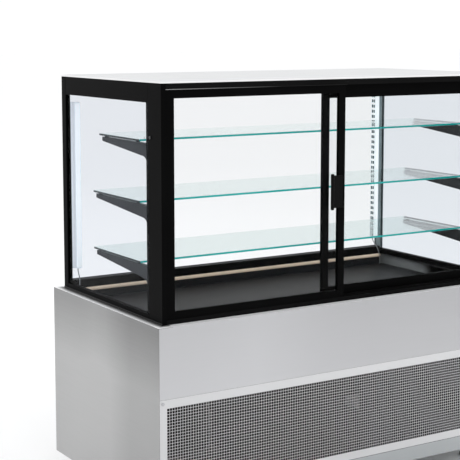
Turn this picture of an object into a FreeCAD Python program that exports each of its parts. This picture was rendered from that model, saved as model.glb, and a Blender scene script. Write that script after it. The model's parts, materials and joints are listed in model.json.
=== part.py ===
import FreeCAD, Part
import math
import os
import re
import Sketcher

# Refrigerated bakery display case with sliding rear doors.
# Frame: +X is the width, -Y the service side with the doors, +Y the customer side, +Z up.
# The origin is the middle of the footprint, on the floor.  Every length is in millimetres.

DIMENSIONS = {
    # how far a cutting tool runs past the face that it cuts
    "over": 5,
    # overall
    "cab_w": 1190, "cab_d": 600, "cab_h": 630, "top_t": 5, "base_h": 565, "ledge": 24,
    "tray_z": 60, "tray_h": 42, "sheet": 1.5, "flange": 44, "seam": 1,
    # adjustable feet
    "foot_rad": 25, "foot_pad_t": 9, "stem_rad": 6, "stem_top": 92, "foot_inset": 60, "fit_gap": 0.08,
    # service side of the base
    "service_h": 192, "grille_margin": 19, "vent_pitch": 24, "vent_side": 15,
    # insulated well and deck
    "well_z": 395, "foam_t": 30, "well_out": 7, "well_back": 62, "cavity_w": 580,
    "cavity_y": 268, "deck_drop": 32, "deck_fold": 16, "deck_gap": 2, "strip_h": 10, "grommet_rad": 2.5,
    "slot_len": 60, "slot_wide": 6, "slot_in": 12, "slot_pitch": 75, "slot_last": 525,
    # cabin frame
    "jamb_w": 14, "jamb_d": 70, "post_w": 15, "post_d": 28, "side_rail_w": 15, "low_rail_h": 18,
    "customer_rail_h": 25, "customer_rail_d": 32, "top_rail_h": 52, "top_rail_w": 20,
    "pane_t": 6, "pane_inset": 4,
    # door tracks and doors
    "bar_t": 8, "sill_t": 4, "fin_h": 8, "fin_t": 2, "slide_gap": 1, "door_t": 11, "door_pitch": 35,
    "door_glass_t": 4, "outer_stile": 26, "meeting_stile": 22.5, "door_top_gap": 1.5,
    "door_low_gap": 10, "runner_gap": 0.3, "runner_len": 60, "end_gap": 0.5,
    "left_door_edge": -3, "right_door_edge": -54.5,
    "left_low_rail": 23, "left_high_rail": 29.5, "right_low_rail": 27, "right_high_rail": 45,
    "runner_in": 20, "runner_side": 3,
    # door handles
    "pull_z": 880, "pull_len": 102, "pull_rod": 5, "pull_plate": 4, "pull_reach": 24, "pull_lap": 12,
    "pull_short": 5,
    # shelves
    "shelf_t": 6, "shelf_x": 575, "shelf_y": -146, "top_shelf_d": 241, "low_shelf_d": 283,
    "top_shelf_z": 1035, "mid_shelf_z": 869, "low_shelf_z": 705, "pad_t": 3, "pad_rad": 6,
    "pad_near": 25, "pad_far": 30,
    "arm_t": 12, "arm_x": 560, "arm_tip_h": 12, "arm_root_h": 38, "arm_short": 12, "arm_fillet": 30,
    "foot_plate_t": 9, "foot_plate_h": 82, "upright_w": 14, "upright_d": 37,
    # lights in the customer-side corners
    "light_low": 624, "light_high": 1120, "light_leg": 4, "light_depth": 22, "light_wide": 15,
    "light_gap": 12, "board_t": 2, "board_short": 4, "board_edge": 1, "lens_t": 2, "lead_rad": 1.5,
    # refrigeration
    "comp_x": -330, "comp_y": 60, "comp_rad": 85, "comp_h": 190, "comp_rim": 20, "comp_base_y": 70,
    "comp_base_t": 6, "comp_leg_h": 14, "comp_leg_rad": 11, "comp_leg_x": 88, "comp_leg_y": 55,
    "stub_rad": 6, "stub_len": 40, "stub_in": 5, "stub_z": 70, "fan_x": 250, "fan_z": 237,
    "fan_y": -232, "fan_rad": 100, "fan_hub": 28, "fan_t": 18, "shaft_rad": 4, "motor_rad": 32,
    "coil_w": 340, "coil_h": 250, "coil_d": 44, "coil_y": -316, "shroud_t": 3, "shroud_gap": 4,
    "groove_pitch": 20, "groove_w": 8, "groove_deep": 10, "groove_rim": 10, "groove_first": 12,
    "shaft_out": 2, "fan_motor_gap": 4, "fan_motor_len": 60, "bracket_at": 12, "bracket_t": 3,
    "bracket_half": 12,
    "evap_x": -90, "evap_y": 40, "evap_w": 420, "evap_d": 180, "evap_h": 74,
    "evap_fan_x": 170, "evap_fan_rad": 33, "evap_fan_hub": 13, "evap_fan_t": 12, "evap_motor_rad": 16,
    "evap_groove_deep": 8, "evap_groove_first": 10, "evap_motor_gap": 3, "evap_motor_len": 40,
    "evap_leg_at": 20, "evap_leg_t": 6, "evap_leg_half": 14,
    # defrost drip tray and electrical box
    "drip_x": -150, "drip_y": 60, "drip_w": 190, "drip_d": 180, "drip_h": 38, "drip_t": 3,
    "box_x": 480, "box_y": 20, "box_w": 110, "box_d": 180, "box_h": 150,
    # controls
    "panel_x": 430, "panel_w": 150, "panel_z": 470, "panel_h": 50, "panel_t": 6, "button_rad": 5,
    "button_t": 5, "button_out": 2, "up_x": 80, "down_x": 98, "window_x": 10, "window_z": 8,
    "housing_gap": 0.5, "housing_d": 40, "display_x": 18, "display_w": 48, "display_half": 13,
    "display_deep": 1.5, "rocker_x": 122, "rocker_w": 13, "rocker_h": 20, "rocker_t": 8,
    "rocker_out": 3, "rocker_dip": 1, "rocker_taper": 3, "rocker_gap": 0.5, "rocker_slack": 1.5,
    "rocker_room": 6, "pivot_rad": 1.5, "pivot_out": 0.4, "pivot_y": 4,
    # mains cable gland
    "gland_x": 469, "gland_y": -150, "gland_rad": 9, "gland_bore_rad": 4, "gland_top": 12,
    "gland_nut_lap": 4, "gland_nut_h": 10, "gland_nose_h": 8, "gland_low": 18,
    # screws
    "screw_rad": 2.5, "screw_head": 4.5, "screw_head_t": 2.5, "screw_len": 7, "screw_gap": 0.05,
    "jamb_screw_z": 488, "jamb_screw_in": 12,
}

document = FreeCAD.newDocument("bakery_display_case")
sheet = document.addObject("Spreadsheet::Sheet", "params")
nodes = []


def fill_sheet():
    """Put every driving dimension in a row of its own, with its name as the alias."""
    for row, (name, value) in enumerate(DIMENSIONS.items(), start=1):
        sheet.set(f"A{row}", name)
        sheet.set(f"B{row}", str(value))
        sheet.setAlias(f"B{row}", name)
    document.recompute()


def from_sheet(formula):
    """Turn each word of a formula into a reference to the sheet's cell of that name."""
    return re.sub(r"[a-z]\w*", lambda word: "params." + word.group(0), formula)


def bind(item, prop, formula):
    item.setExpression(prop, from_sheet(formula))


def value_of(item, formula):
    """What a formula comes to with the sheet's present values."""
    return float(item.evalExpression(from_sheet(formula)))


def move(item, x="0", y="0", z="0", turn=None):
    """Place an object: its corner or centre follows formulas, its turn is fixed."""
    if turn is not None:
        item.Placement = FreeCAD.Placement(FreeCAD.Vector(0, 0, 0), turn)
    for axis, formula in zip("xyz", (x, y, z)):
        bind(item, "Placement.Base." + axis, formula)
    return item


def block(label, x_low, x_high, y_low, y_high, z_low, z_high):
    """A box between two formulas along each axis."""
    item = document.addObject("Part::Box", label)
    item.Label = label
    bind(item, "Length", f"({x_high}) - ({x_low})")
    bind(item, "Width", f"({y_high}) - ({y_low})")
    bind(item, "Height", f"({z_high}) - ({z_low})")
    return move(item, x_low, y_low, z_low)


ALONG = {
    "x": FreeCAD.Rotation(FreeCAD.Vector(0, 1, 0), 90),
    "y": FreeCAD.Rotation(FreeCAD.Vector(1, 0, 0), -90),
    "z": FreeCAD.Rotation(),
}


def rod(label, along, radius, length, x, y, z):
    """A cylinder that starts at a point and runs along +X, +Y or +Z."""
    item = document.addObject("Part::Cylinder", label)
    item.Label = label
    bind(item, "Radius", radius)
    bind(item, "Height", length)
    return move(item, x, y, z, ALONG[along])


def combine(kind, label, items):
    """Fuse items into one solid, or keep them as a group of separate solids."""
    item = document.addObject("Part::MultiFuse" if kind == "fuse" else "Part::Compound", label)
    item.Label = label
    if kind == "fuse":
        item.Shapes = items
        item.Refine = True
    else:
        item.Links = items
    return item


def cut(label, base, tools):
    """Take every tool out of the base."""
    item = document.addObject("Part::Cut", label)
    item.Label = label
    item.Base = base
    item.Tool = tools[0] if len(tools) == 1 else combine("group", label + "_tools", tools)
    return item


def new_body(label):
    body = document.addObject("PartDesign::Body", label)
    body.Label = label
    return body


def origin_feature(body, role):
    return next(item for item in body.Origin.OriginFeatures if item.Role == role)


def fill_outline(sketch, corners):
    """Draw a closed outline whose corners follow formulas in the sketch's own axes."""
    count = len(corners)
    ring = [FreeCAD.Vector(math.cos(2 * math.pi * i / count), math.sin(2 * math.pi * i / count), 0)
            for i in range(count)]
    for i in range(count):
        sketch.addGeometry(Part.LineSegment(ring[i], ring[(i + 1) % count]), False)
    for i in range(count):
        sketch.addConstraint(Sketcher.Constraint("Coincident", i, 2, (i + 1) % count, 1))
    for i, corner in enumerate(corners):
        for kind, formula, start in zip(("DistanceX", "DistanceY"), corner, (ring[i].x, ring[i].y)):
            index = sketch.addConstraint(Sketcher.Constraint(kind, -1, 1, i, 1, start))
            bind(sketch, f"Constraints[{index}]", formula)


def sketch_outline(body, role, corners, suffix="_outline", lift="0"):
    """A sketch of straight edges on one of the body's own planes, lifted along its normal."""
    sketch = body.newObject("Sketcher::SketchObject", body.Name + suffix)
    sketch.AttachmentSupport = [(origin_feature(body, role), "")]
    sketch.MapMode = "FlatFace"
    bind(sketch, "AttachmentOffset.Base.z", lift)
    fill_outline(sketch, corners)
    return sketch


def pad(body, sketch, length):
    feature = body.newObject("PartDesign::Pad", body.Name + "_pad")
    feature.Profile = sketch
    bind(feature, "Length", length)
    return feature


def prism(label, role, corners, length, x="0", y="0", z="0"):
    """A padded outline.  From XZ_Plane it runs towards -Y, from YZ_Plane towards +X."""
    body = new_body(label)
    pad(body, sketch_outline(body, role, corners), length)
    return move(body, x, y, z)


def turned(label, corners, x="0", y="0", z="0", turn=None):
    """A full revolution of an outline, given as (radius, height) corners, about its own Z."""
    body = new_body(label)
    sketch = sketch_outline(body, "XZ_Plane", corners)
    feature = body.newObject("PartDesign::Revolution", label + "_turned")
    feature.Profile = sketch
    feature.ReferenceAxis = (origin_feature(body, "Z_Axis"), [""])
    feature.Angle = 360
    return move(body, x, y, z, turn)


def bladed_rotor(label, blades, hub, tip, bore, depth, pitch_angle):
    """A hub with a bore and a ring of slanted blades, built about its own Z."""
    body = new_body(label)
    sketch = sketch_outline(body, "XZ_Plane", [(bore, "0"), (hub, "0"), (hub, depth), (bore, depth)])
    core = body.newObject("PartDesign::Revolution", label + "_hub")
    core.Profile = sketch
    core.ReferenceAxis = (origin_feature(body, "Z_Axis"), [""])
    core.Angle = 360
    # The blade is a thin slanted strip seen along X, padded outwards from inside the hub wall.
    lean = math.tan(math.radians(pitch_angle))
    strip = [(f"-({depth}) * {lean:.4f} / 2 - 1", f"({depth}) * 0.1"),
             (f"-({depth}) * {lean:.4f} / 2 + 1", f"({depth}) * 0.1"),
             (f"({depth}) * {lean:.4f} / 2 + 1", f"({depth}) * 0.9"),
             (f"({depth}) * {lean:.4f} / 2 - 1", f"({depth}) * 0.9")]
    outline = sketch_outline(body, "YZ_Plane", strip, "_blade_outline", f"({hub}) - 2")
    blade = body.newObject("PartDesign::Pad", label + "_blade")
    blade.Profile = outline
    bind(blade, "Length", f"({tip}) - ({hub}) + 2")
    document.recompute()
    pattern = body.newObject("PartDesign::PolarPattern", label + "_blades")
    pattern.Originals = [blade]
    pattern.Axis = (origin_feature(body, "Z_Axis"), [""])
    pattern.Angle = 360
    pattern.Occurrences = blades
    body.Tip = pattern
    return body


def keep(item):
    """Record a finished sub-part, which is written to a file under its label."""
    nodes.append(item)
    return item


# Route of a light lead, from its board down through the deck: distance from the middle, Y and Z.
LEAD_ROUTE = [(558, 284, 623.5), (558, 281, 610.5), (559, 271.5, 600), (562, 262.5, 589),
              (565, 257, 575.5), (566.7, 253.8, 561), (567.2, 252.2, 546), (567, 252, 531),
              (567, 252.3, 517)]


def side_span(side, inner, outer):
    """The X formulas of a span between two distances from the middle, on the left or right."""
    if side == "left":
        return f"-({outer})", f"-({inner})"
    return inner, outer


def signed(side, distance):
    return f"-({distance})" if side == "left" else distance


SIDES = ("left", "right")

# Places that several sub-parts share.
HALF_W = "cab_w / 2"
HALF_D = "cab_d / 2"
CAB_TOP = "base_h + cab_h"
BASE_X = "cab_w / 2 + ledge"
BASE_Y = "cab_d / 2 + ledge"
DECK_TOP = "base_h - deck_drop"
OPENING_X = "cab_w / 2 - jamb_w"
TRACK_IN = "-cab_d / 2 + jamb_d"
SEAT_Z = "base_h + sill_t"
BAR_Z = "base_h + cab_h - bar_t"
DOOR_LOW = "base_h + door_low_gap"
DOOR_HIGH = "base_h + cab_h - bar_t - door_top_gap"
LEFT_DOOR_Y = "-cab_d / 2 + fin_t + slide_gap"
RIGHT_DOOR_Y = "-cab_d / 2 + fin_t + slide_gap + door_pitch"
SERVICE_LOW = "base_h - service_h"
TRAY_TOP = "tray_z + tray_h"
GLAND_AT = ("gland_x", "gland_y")
JAMB_SCREW_AT = ("-cab_d / 2 + jamb_d - jamb_screw_in", "base_h + jamb_screw_z")


def base_nodes():
    """The steel base: bent tray, four adjustable feet, cladding panels and the vent grille."""
    inset_x = "cab_w / 2 - foot_inset"
    inset_y = "cab_d / 2 - foot_inset"
    corners = [(f"{sx}({inset_x})", f"{sy}({inset_y})", f"foot_{depth}_{side}")
               for sx, side in (("-", "left"), ("", "right"))
               for sy, depth in (("-", "service"), ("", "customer"))]
    tray_x = f"{BASE_X} - sheet"
    tray_y = f"{BASE_Y} - sheet"
    shell = block("tray_shell", f"-({tray_x})", tray_x, f"-({BASE_Y})", BASE_Y, "tray_z", TRAY_TOP)
    hollow = block("tray_hollow", f"-({tray_x} - sheet)", f"{tray_x} - sheet", f"-({tray_y})", tray_y,
                   "tray_z + sheet", f"{TRAY_TOP} + over")
    holes = [rod(name + "_hole", "z", "stem_rad + fit_gap", "2 * over", x, y, "tray_z - over")
             for x, y, name in corners]
    inlet = rod("inlet_hole", "z", "gland_rad + fit_gap", "2 * over", *GLAND_AT, "tray_z - over")
    keep(cut("base_tray", shell, [hollow, inlet] + holes))
    for x, y, name in corners:
        keep(turned(name, [("0", "0"), ("foot_rad - 2", "0"), ("foot_rad", "2"), ("foot_rad", "foot_pad_t"),
                           ("stem_rad + 4", "foot_pad_t + 6"), ("stem_rad + 4", "tray_z - 8"),
                           ("stem_rad", "tray_z - 8"), ("stem_rad", "stem_top"), ("0", "stem_top")], x, y))
    for side in SIDES:
        # Seen along the depth: a tall sheet with its top folded inwards as the ledge.
        outer = signed(side, BASE_X)
        inner = signed(side, f"{BASE_X} - sheet")
        fold = signed(side, f"{BASE_X} - flange")
        corners_xz = [(outer, "tray_z"), (outer, "base_h"), (fold, "base_h"), (fold, "base_h - sheet"),
                      (inner, "base_h - sheet"), (inner, "tray_z")]
        keep(prism(f"side_panel_{side}", "XZ_Plane", corners_xz, f"2 * ({BASE_Y})", y=BASE_Y))
    between = f"{BASE_X} - sheet"
    fold_x = f"{BASE_X} - flange"
    sheet_high = block("customer_sheet", f"-({between})", between, f"{BASE_Y} - sheet", BASE_Y,
                       TRAY_TOP, "base_h - sheet")
    fold_high = block("customer_fold", f"-({fold_x})", fold_x, f"{BASE_Y} - flange", BASE_Y,
                      "base_h - sheet", "base_h")
    keep(combine("fuse", "customer_panel", [sheet_high, fold_high]))
    plate = block("service_sheet", f"-({between})", between, f"-({BASE_Y})", f"-({BASE_Y} - sheet)",
                  SERVICE_LOW, "base_h - sheet")
    fold = block("service_fold", f"-({fold_x})", fold_x, f"-({BASE_Y})", f"-({BASE_Y} - flange)",
                 "base_h - sheet", "base_h")
    window = block("control_window", "panel_x + window_x", "panel_x + panel_w - window_x",
                   f"-({BASE_Y}) - over", f"-({BASE_Y}) + over", "panel_z + window_z",
                   "panel_z + panel_h - window_z")
    keep(cut("service_panel", combine("fuse", "service_bend", [plate, fold]), [window]))
    keep(grille_panel())


def grille_panel():
    """A flat sheet with rows of square vents inside a plain margin and four screw holes."""
    width = 2 * (sheet.cab_w / 2 + sheet.ledge - sheet.sheet)
    low = sheet.tray_z + sheet.tray_h + sheet.seam
    height = sheet.base_h - sheet.service_h - sheet.seam - low
    margin = sheet.grille_margin
    across = int((width - 2 * margin) // sheet.vent_pitch)
    up = int((height - 2 * margin) // sheet.vent_pitch)
    start = FreeCAD.Vector(-across * sheet.vent_pitch / 2, 0, (height - up * sheet.vent_pitch) / 2)
    rim = (sheet.vent_pitch - sheet.vent_side) / 2
    outline = rectangle(-width / 2, 0, width, height)
    holes = [rectangle(start.x + i * sheet.vent_pitch + rim, start.z + j * sheet.vent_pitch + rim,
                       sheet.vent_side, sheet.vent_side) for i in range(across) for j in range(up)]
    corners = [(sx * (width / 2 - margin / 2), z) for sx in (-1, 1)
               for z in (margin / 2, height - margin / 2)]
    for x, z in corners:
        ring = Part.Circle(FreeCAD.Vector(x, 0, z), FreeCAD.Vector(0, 1, 0),
                           sheet.screw_rad + sheet.screw_gap)
        holes.append(Part.Wire([ring.toShape()]))
    face = Part.makeFace([outline] + holes, "Part::FaceMakerBullseye")
    item = document.addObject("Part::Feature", "grille_panel")
    item.Label = "grille_panel"
    item.Shape = face.extrude(FreeCAD.Vector(0, sheet.sheet, 0))
    item.Placement.Base = FreeCAD.Vector(0, -(sheet.cab_d / 2 + sheet.ledge), low)
    return item


def rectangle(x, z, wide, tall):
    """A closed upright rectangle in the XZ plane from its lower left corner."""
    points = [(x, z), (x + wide, z), (x + wide, z + tall), (x, z + tall), (x, z)]
    return Part.makePolygon([FreeCAD.Vector(px, 0, pz) for px, pz in points])


def well_nodes():
    """The foamed well under the deck, the deck itself and the air outlet strip."""
    out_x = f"{BASE_X} - well_out"
    back = f"-({BASE_Y} - well_back)"
    front = f"{BASE_Y} - well_out"
    door_side = f"{TRACK_IN} + 4"
    top = "base_h - sheet - 0.5"
    floor_top = "well_z + foam_t"
    walls = [
        block("well_floor", f"-({out_x})", out_x, back, front, "well_z", floor_top),
        block("well_wall_left", f"-({out_x})", "-cavity_w", back, front, floor_top, top),
        block("well_wall_right", "cavity_w", out_x, back, front, floor_top, top),
        block("well_wall_service", "-cavity_w", "cavity_w", back, door_side, floor_top, top),
        block("well_wall_customer", "-cavity_w", "cavity_w", "cavity_y", front, floor_top, top),
    ]
    keep(combine("group", "insulated_well", walls))
    deck_x = "cavity_w - deck_gap"
    deck_low_y = f"{door_side} + deck_gap"
    deck_high_y = "cavity_y - strip_h - deck_gap"
    sheet_top = block("deck_sheet", f"-({deck_x})", deck_x, deck_low_y, deck_high_y,
                      f"{DECK_TOP} - deck_fold", DECK_TOP)
    under = block("deck_under", f"-({deck_x} - sheet)", f"{deck_x} - sheet", f"{deck_low_y} + sheet",
                  f"{deck_high_y} - sheet", f"{DECK_TOP} - deck_fold - over", f"{DECK_TOP} - sheet")
    slot_low = f"{deck_low_y} + slot_in"
    slots = []
    for i in range(int(2 * sheet.slot_last // sheet.slot_pitch) + 1):
        middle = f"slot_pitch * {i} - slot_last"
        slots.append(block(f"return_slot_{i}", f"{middle} - slot_len / 2", f"{middle} + slot_len / 2",
                           slot_low, f"{slot_low} + slot_wide", f"{DECK_TOP} - over",
                           f"{DECK_TOP} + over"))
    lead_x, lead_y = LEAD_ROUTE[-1][:2]
    grommets = [rod(f"lead_hole_{side}", "z", "grommet_rad", "2 * over", signed(side, str(lead_x)),
                    str(lead_y), f"{DECK_TOP} - over") for side in SIDES]
    keep(cut("display_deck", sheet_top, [under] + slots + grommets))
    # Half-round nose of the outlet strip, between the folds of the two side panels.
    strip_x = f"{BASE_X} - flange - seam"
    keep(combine("fuse", "air_outlet_strip", [
        block("strip_back", f"-({strip_x})", strip_x, "cavity_y - strip_h / 2", "cavity_y",
              "base_h - strip_h", "base_h"),
        rod("strip_nose", "x", "strip_h / 2", f"2 * ({strip_x})", f"-({strip_x})",
            "cavity_y - strip_h / 2", "base_h - strip_h / 2")]))


def frame_nodes():
    """The black cabin frame, its door tracks, the top panel and the three fixed panes."""
    jambs = []
    for side in SIDES:
        low, high = side_span(side, OPENING_X, HALF_W)
        bar = block(f"jamb_{side}", low, high, f"-{HALF_D}", TRACK_IN, "base_h", CAB_TOP)
        hole = rod(f"jamb_hole_{side}", "x", "screw_rad + screw_gap", "2 * jamb_w + 2 * over",
                   signed(side, HALF_W) + " - jamb_w - over", *JAMB_SCREW_AT)
        jambs.append(cut(f"door_jamb_{side}", bar, [hole]))
    keep(combine("group", "door_jambs", jambs))
    post_in = "cab_w / 2 - post_w"
    keep(combine("group", "customer_posts", [
        block(f"customer_post_{side}", *side_span(side, post_in, HALF_W), f"{HALF_D} - post_d", HALF_D,
              "base_h", CAB_TOP) for side in SIDES]))
    side_end = f"{HALF_D} - post_d"
    for name, z_low, z_high, wide, deep in (
            ("bottom_rails", "base_h", "base_h + low_rail_h", "side_rail_w", "customer_rail_d"),
            ("top_rails", f"{CAB_TOP} - top_rail_h", CAB_TOP, "top_rail_w", "top_rail_w")):
        rails = [block(f"{name}_{side}", *side_span(side, f"{HALF_W} - {wide}", HALF_W),
                       TRACK_IN, side_end, z_low, z_high) for side in SIDES]
        high = "base_h + customer_rail_h" if name == "bottom_rails" else z_high
        rails.append(block(f"{name}_customer", f"-({post_in})", post_in, f"{HALF_D} - {deep}", HALF_D,
                           z_low, high))
        keep(combine("group", name, rails))
    keep(block("header_beam", f"-({OPENING_X})", OPENING_X, f"-{HALF_D}", TRACK_IN, BAR_Z, CAB_TOP))
    keep(block("sill_beam", f"-({OPENING_X})", OPENING_X, f"-{HALF_D}", TRACK_IN, "base_h", SEAT_Z))
    fins = []
    for name, low in (("sill", SEAT_Z), ("header", f"{BAR_Z} - fin_h")):
        spans = (("front", f"-{HALF_D}", f"-{HALF_D} + fin_t"),
                 ("middle", f"{LEFT_DOOR_Y} + door_t + slide_gap", f"{RIGHT_DOOR_Y} - slide_gap"),
                 ("back", f"{RIGHT_DOOR_Y} + door_t + slide_gap", TRACK_IN))
        for part_name, y_low, y_high in spans:
            fins.append(block(f"{name}_{part_name}_fin", f"-({OPENING_X})", OPENING_X, y_low, y_high,
                              low, f"{low} + fin_h"))
    keep(combine("group", "track_fins", fins))
    keep(block("top_panel", f"-{HALF_W}", HALF_W, f"-{HALF_D}", HALF_D, CAB_TOP, f"{CAB_TOP} + top_t"))
    pane_low = "base_h + low_rail_h"
    pane_high = f"{CAB_TOP} - top_rail_h"
    for side in SIDES:
        low, high = side_span(side, f"{HALF_W} - pane_inset - pane_t", f"{HALF_W} - pane_inset")
        keep(block(f"side_glass_{side}", low, high, TRACK_IN, side_end, pane_low, pane_high))
    keep(block("customer_glass", f"-({post_in})", post_in, f"{HALF_D} - pane_inset - pane_t",
               f"{HALF_D} - pane_inset", "base_h + customer_rail_h", pane_high))


def door_member(label, corners, y_front):
    """One mitred bar of a door frame, from its outline in the plane of the door."""
    return prism(label, "XZ_Plane", corners, "door_t", y=f"{y_front} + door_t")


def door_nodes(side, x_low, x_high, left_stile, right_stile, low_rail, high_rail, y_front, pull_x):
    """A sliding door: mitred stiles and rails, pane, pull handle and two nylon runners."""
    glass_x = (f"{x_low} + {left_stile}", f"{x_high} - {right_stile}")
    glass_z = (f"{DOOR_LOW} + {low_rail}", f"{DOOR_HIGH} - {high_rail}")
    outer = [(x_low, DOOR_LOW), (x_high, DOOR_LOW), (x_high, DOOR_HIGH), (x_low, DOOR_HIGH)]
    inner = [(glass_x[0], glass_z[0]), (glass_x[1], glass_z[0]), (glass_x[1], glass_z[1]),
             (glass_x[0], glass_z[1])]
    bars = {}
    for i, name in enumerate(("low_rail", "right_stile", "high_rail", "left_stile")):
        after = (i + 1) % 4
        bars[name] = door_member(f"{side}_{name}_bar", [outer[i], outer[after], inner[after], inner[i]],
                                 y_front)
    keep(combine("group", f"{side}_door_stiles", [bars["left_stile"], bars["right_stile"]]))
    keep(combine("group", f"{side}_door_rails", [bars["low_rail"], bars["high_rail"]]))
    pane_y = f"{y_front} + (door_t - door_glass_t) / 2"
    keep(block(f"{side}_door_glass", *glass_x, pane_y, f"{pane_y} + door_glass_t", *glass_z))
    # The pull: a plate lapped on the stile, with a rod along its free edge.
    plate = block(f"{side}_pull_plate", f"{pull_x} - pull_reach", f"{pull_x} + pull_lap",
                  f"{y_front} - pull_plate", y_front, "pull_z - pull_len / 2 + pull_short",
                  "pull_z + pull_len / 2 - pull_short")
    grip = rod(f"{side}_pull_rod", "z", "pull_rod", "pull_len", f"{pull_x} - pull_reach",
               f"{y_front} - pull_rod", "pull_z - pull_len / 2")
    keep(combine("fuse", f"{side}_door_handle", [plate, grip]))
    starts = (("left", f"{x_low} + runner_in"), ("right", f"{x_high} - runner_in - runner_len"))
    runners = [block(f"{side}_runner_{name}", start, f"{start} + runner_len", f"{y_front} + runner_side",
                     f"{y_front} + door_t - runner_side", f"{SEAT_Z} + runner_gap", DOOR_LOW)
               for name, start in starts]
    keep(combine("group", f"{side}_door_runners", runners))


def shelf_arm(label, side, shelf_z, shelf_depth):
    """A tapered arm: flat on top, deep and filleted where it meets its upright."""
    root = f"{TRACK_IN} + upright_d"
    plate = f"{root} + foot_plate_t"
    tip = f"shelf_y + {shelf_depth} - arm_short"
    top = f"{shelf_z} - pad_t"
    corners = [(root, top), (root, f"{top} - foot_plate_h"), (plate, f"{top} - foot_plate_h"),
               (plate, f"{top} - arm_root_h"), (tip, f"{top} - arm_tip_h"), (tip, top)]
    low_x = "-arm_x - arm_t" if side == "left" else "arm_x"
    body = prism(label, "YZ_Plane", corners, "arm_t", x=low_x)
    document.recompute()
    solid = body.Tip
    crook_y, crook_z = (value_of(body, formula) for formula in corners[3])
    crook = [f"Edge{i}" for i, edge in enumerate(solid.Shape.Edges, start=1)
             if math.hypot(edge.CenterOfMass.y - crook_y, edge.CenterOfMass.z - crook_z) < 0.01]
    fillet = body.newObject("PartDesign::Fillet", label + "_fillet")
    fillet.Base = (solid, crook)
    bind(fillet, "Radius", "arm_fillet")
    return body


def shelf_nodes():
    """Three glass shelves on pads, their arms and the two slotted uprights."""
    levels = (("top", "top_shelf_z", "top_shelf_d"), ("middle", "mid_shelf_z", "low_shelf_d"),
              ("bottom", "low_shelf_z", "low_shelf_d"))
    for name, z, depth in levels:
        keep(block(f"{name}_shelf", "-shelf_x", "shelf_x", "shelf_y", f"shelf_y + {depth}",
                   z, f"{z} + shelf_t"))
    for side in SIDES:
        arms = [shelf_arm(f"{name}_arm_{side}", side, z, depth) for name, z, depth in levels]
        keep(combine("group", f"{side}_shelf_arms", arms))
    uprights = []
    for side in SIDES:
        low, high = side_span(side, f"{OPENING_X} - upright_w", OPENING_X)
        uprights.append(block(f"upright_{side}", low, high, TRACK_IN, f"{TRACK_IN} + upright_d",
                              "base_h + low_rail_h", f"{CAB_TOP} - top_rail_h"))
    keep(combine("group", "shelf_uprights", uprights))
    pads = []
    for name, z, depth in levels:
        for side in SIDES:
            for end, y in (("near", "shelf_y + pad_near"), ("far", f"shelf_y + {depth} - pad_far")):
                pads.append(rod(f"pad_{name}_{side}_{end}", "z", "pad_rad", "pad_t",
                                signed(side, "arm_x + arm_t / 2"), y, f"{z} - pad_t"))
    keep(combine("group", "shelf_pads", pads))


def light_nodes():
    """Corner light channels with their boards and the leads down into the well."""
    channels = []
    boards = []
    back_y = f"{HALF_D} - pane_inset - pane_t"
    post_face = "cab_w / 2 - post_w"
    board_z = ("light_low + board_short", "light_high - board_short")
    front_y = f"{back_y} - light_depth"
    flange_y = f"{back_y} - light_leg"
    stem_out = f"{post_face} - light_gap"
    stem_in = f"{stem_out} - light_wide"
    for side in SIDES:
        profile = [(post_face, back_y), (post_face, flange_y), (stem_out, flange_y), (stem_out, front_y),
                   (stem_in, front_y), (stem_in, flange_y), (f"{stem_in} - board_t", flange_y),
                   (f"{stem_in} - board_t", back_y)]
        corners = [(signed(side, x), y) for x, y in profile]
        channels.append(prism(f"channel_{side}", "XY_Plane", corners, "light_high - light_low",
                              z="light_low"))
        board_x = side_span(side, f"{stem_in} - board_t", stem_in)
        boards.append(block(f"chip_board_{side}", *board_x, f"{front_y} + board_edge", flange_y,
                            *board_z))
        lens_x = side_span(side, f"{stem_in} + board_edge", f"{stem_out} - board_edge")
        boards.append(block(f"lens_{side}", *lens_x, f"{front_y} - lens_t", front_y, *board_z))
    keep(combine("group", "light_channels", channels))
    keep(combine("group", "light_boards", boards))
    keep(light_leads())


def light_leads():
    """Both thin leads: straight runs joined by tangent arcs, swept with a round section."""
    leads = []
    for sign in (-1, 1):
        points = [FreeCAD.Vector(sign * x, y, z) for x, y, z in LEAD_ROUTE]
        path = smooth_path(points)
        ring = Part.Wire([Part.Circle(points[0], points[1] - points[0], sheet.lead_rad).toShape()])
        leads.append(path.makePipeShell([ring], True, False))
        print("lead volume ratio", leads[-1].Volume / (math.pi * sheet.lead_rad ** 2 * path.Length))
    item = document.addObject("Part::Feature", "light_leads")
    item.Label = "light_leads"
    item.Shape = Part.makeCompound(leads)
    item.Placement = FreeCAD.Placement()
    return item


def smooth_path(points):
    """Straight runs through the points with each corner rounded as far as its runs allow."""
    edges = []
    start = points[0]
    for before, corner, after in zip(points, points[1:], points[2:]):
        into = (corner - before).normalize()
        out = (after - corner).normalize()
        turn = math.acos(max(-1, min(1, into.dot(out))))
        shorter = min((corner - before).Length, (after - corner).Length)
        reach = 0.45 * shorter
        radius = reach / math.tan(turn / 2)
        print("lead radius", round(radius, 1))
        enter = corner - into * reach
        leave = corner + out * reach
        towards = (out - into).normalize()
        middle = corner + towards * (radius / math.cos(turn / 2) - radius)
        edges.append(Part.LineSegment(start, enter).toShape())
        edges.append(Part.Arc(enter, middle, leave).toShape())
        start = leave
    edges.append(Part.LineSegment(start, points[-1]).toShape())
    return Part.Wire(edges)


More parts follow.
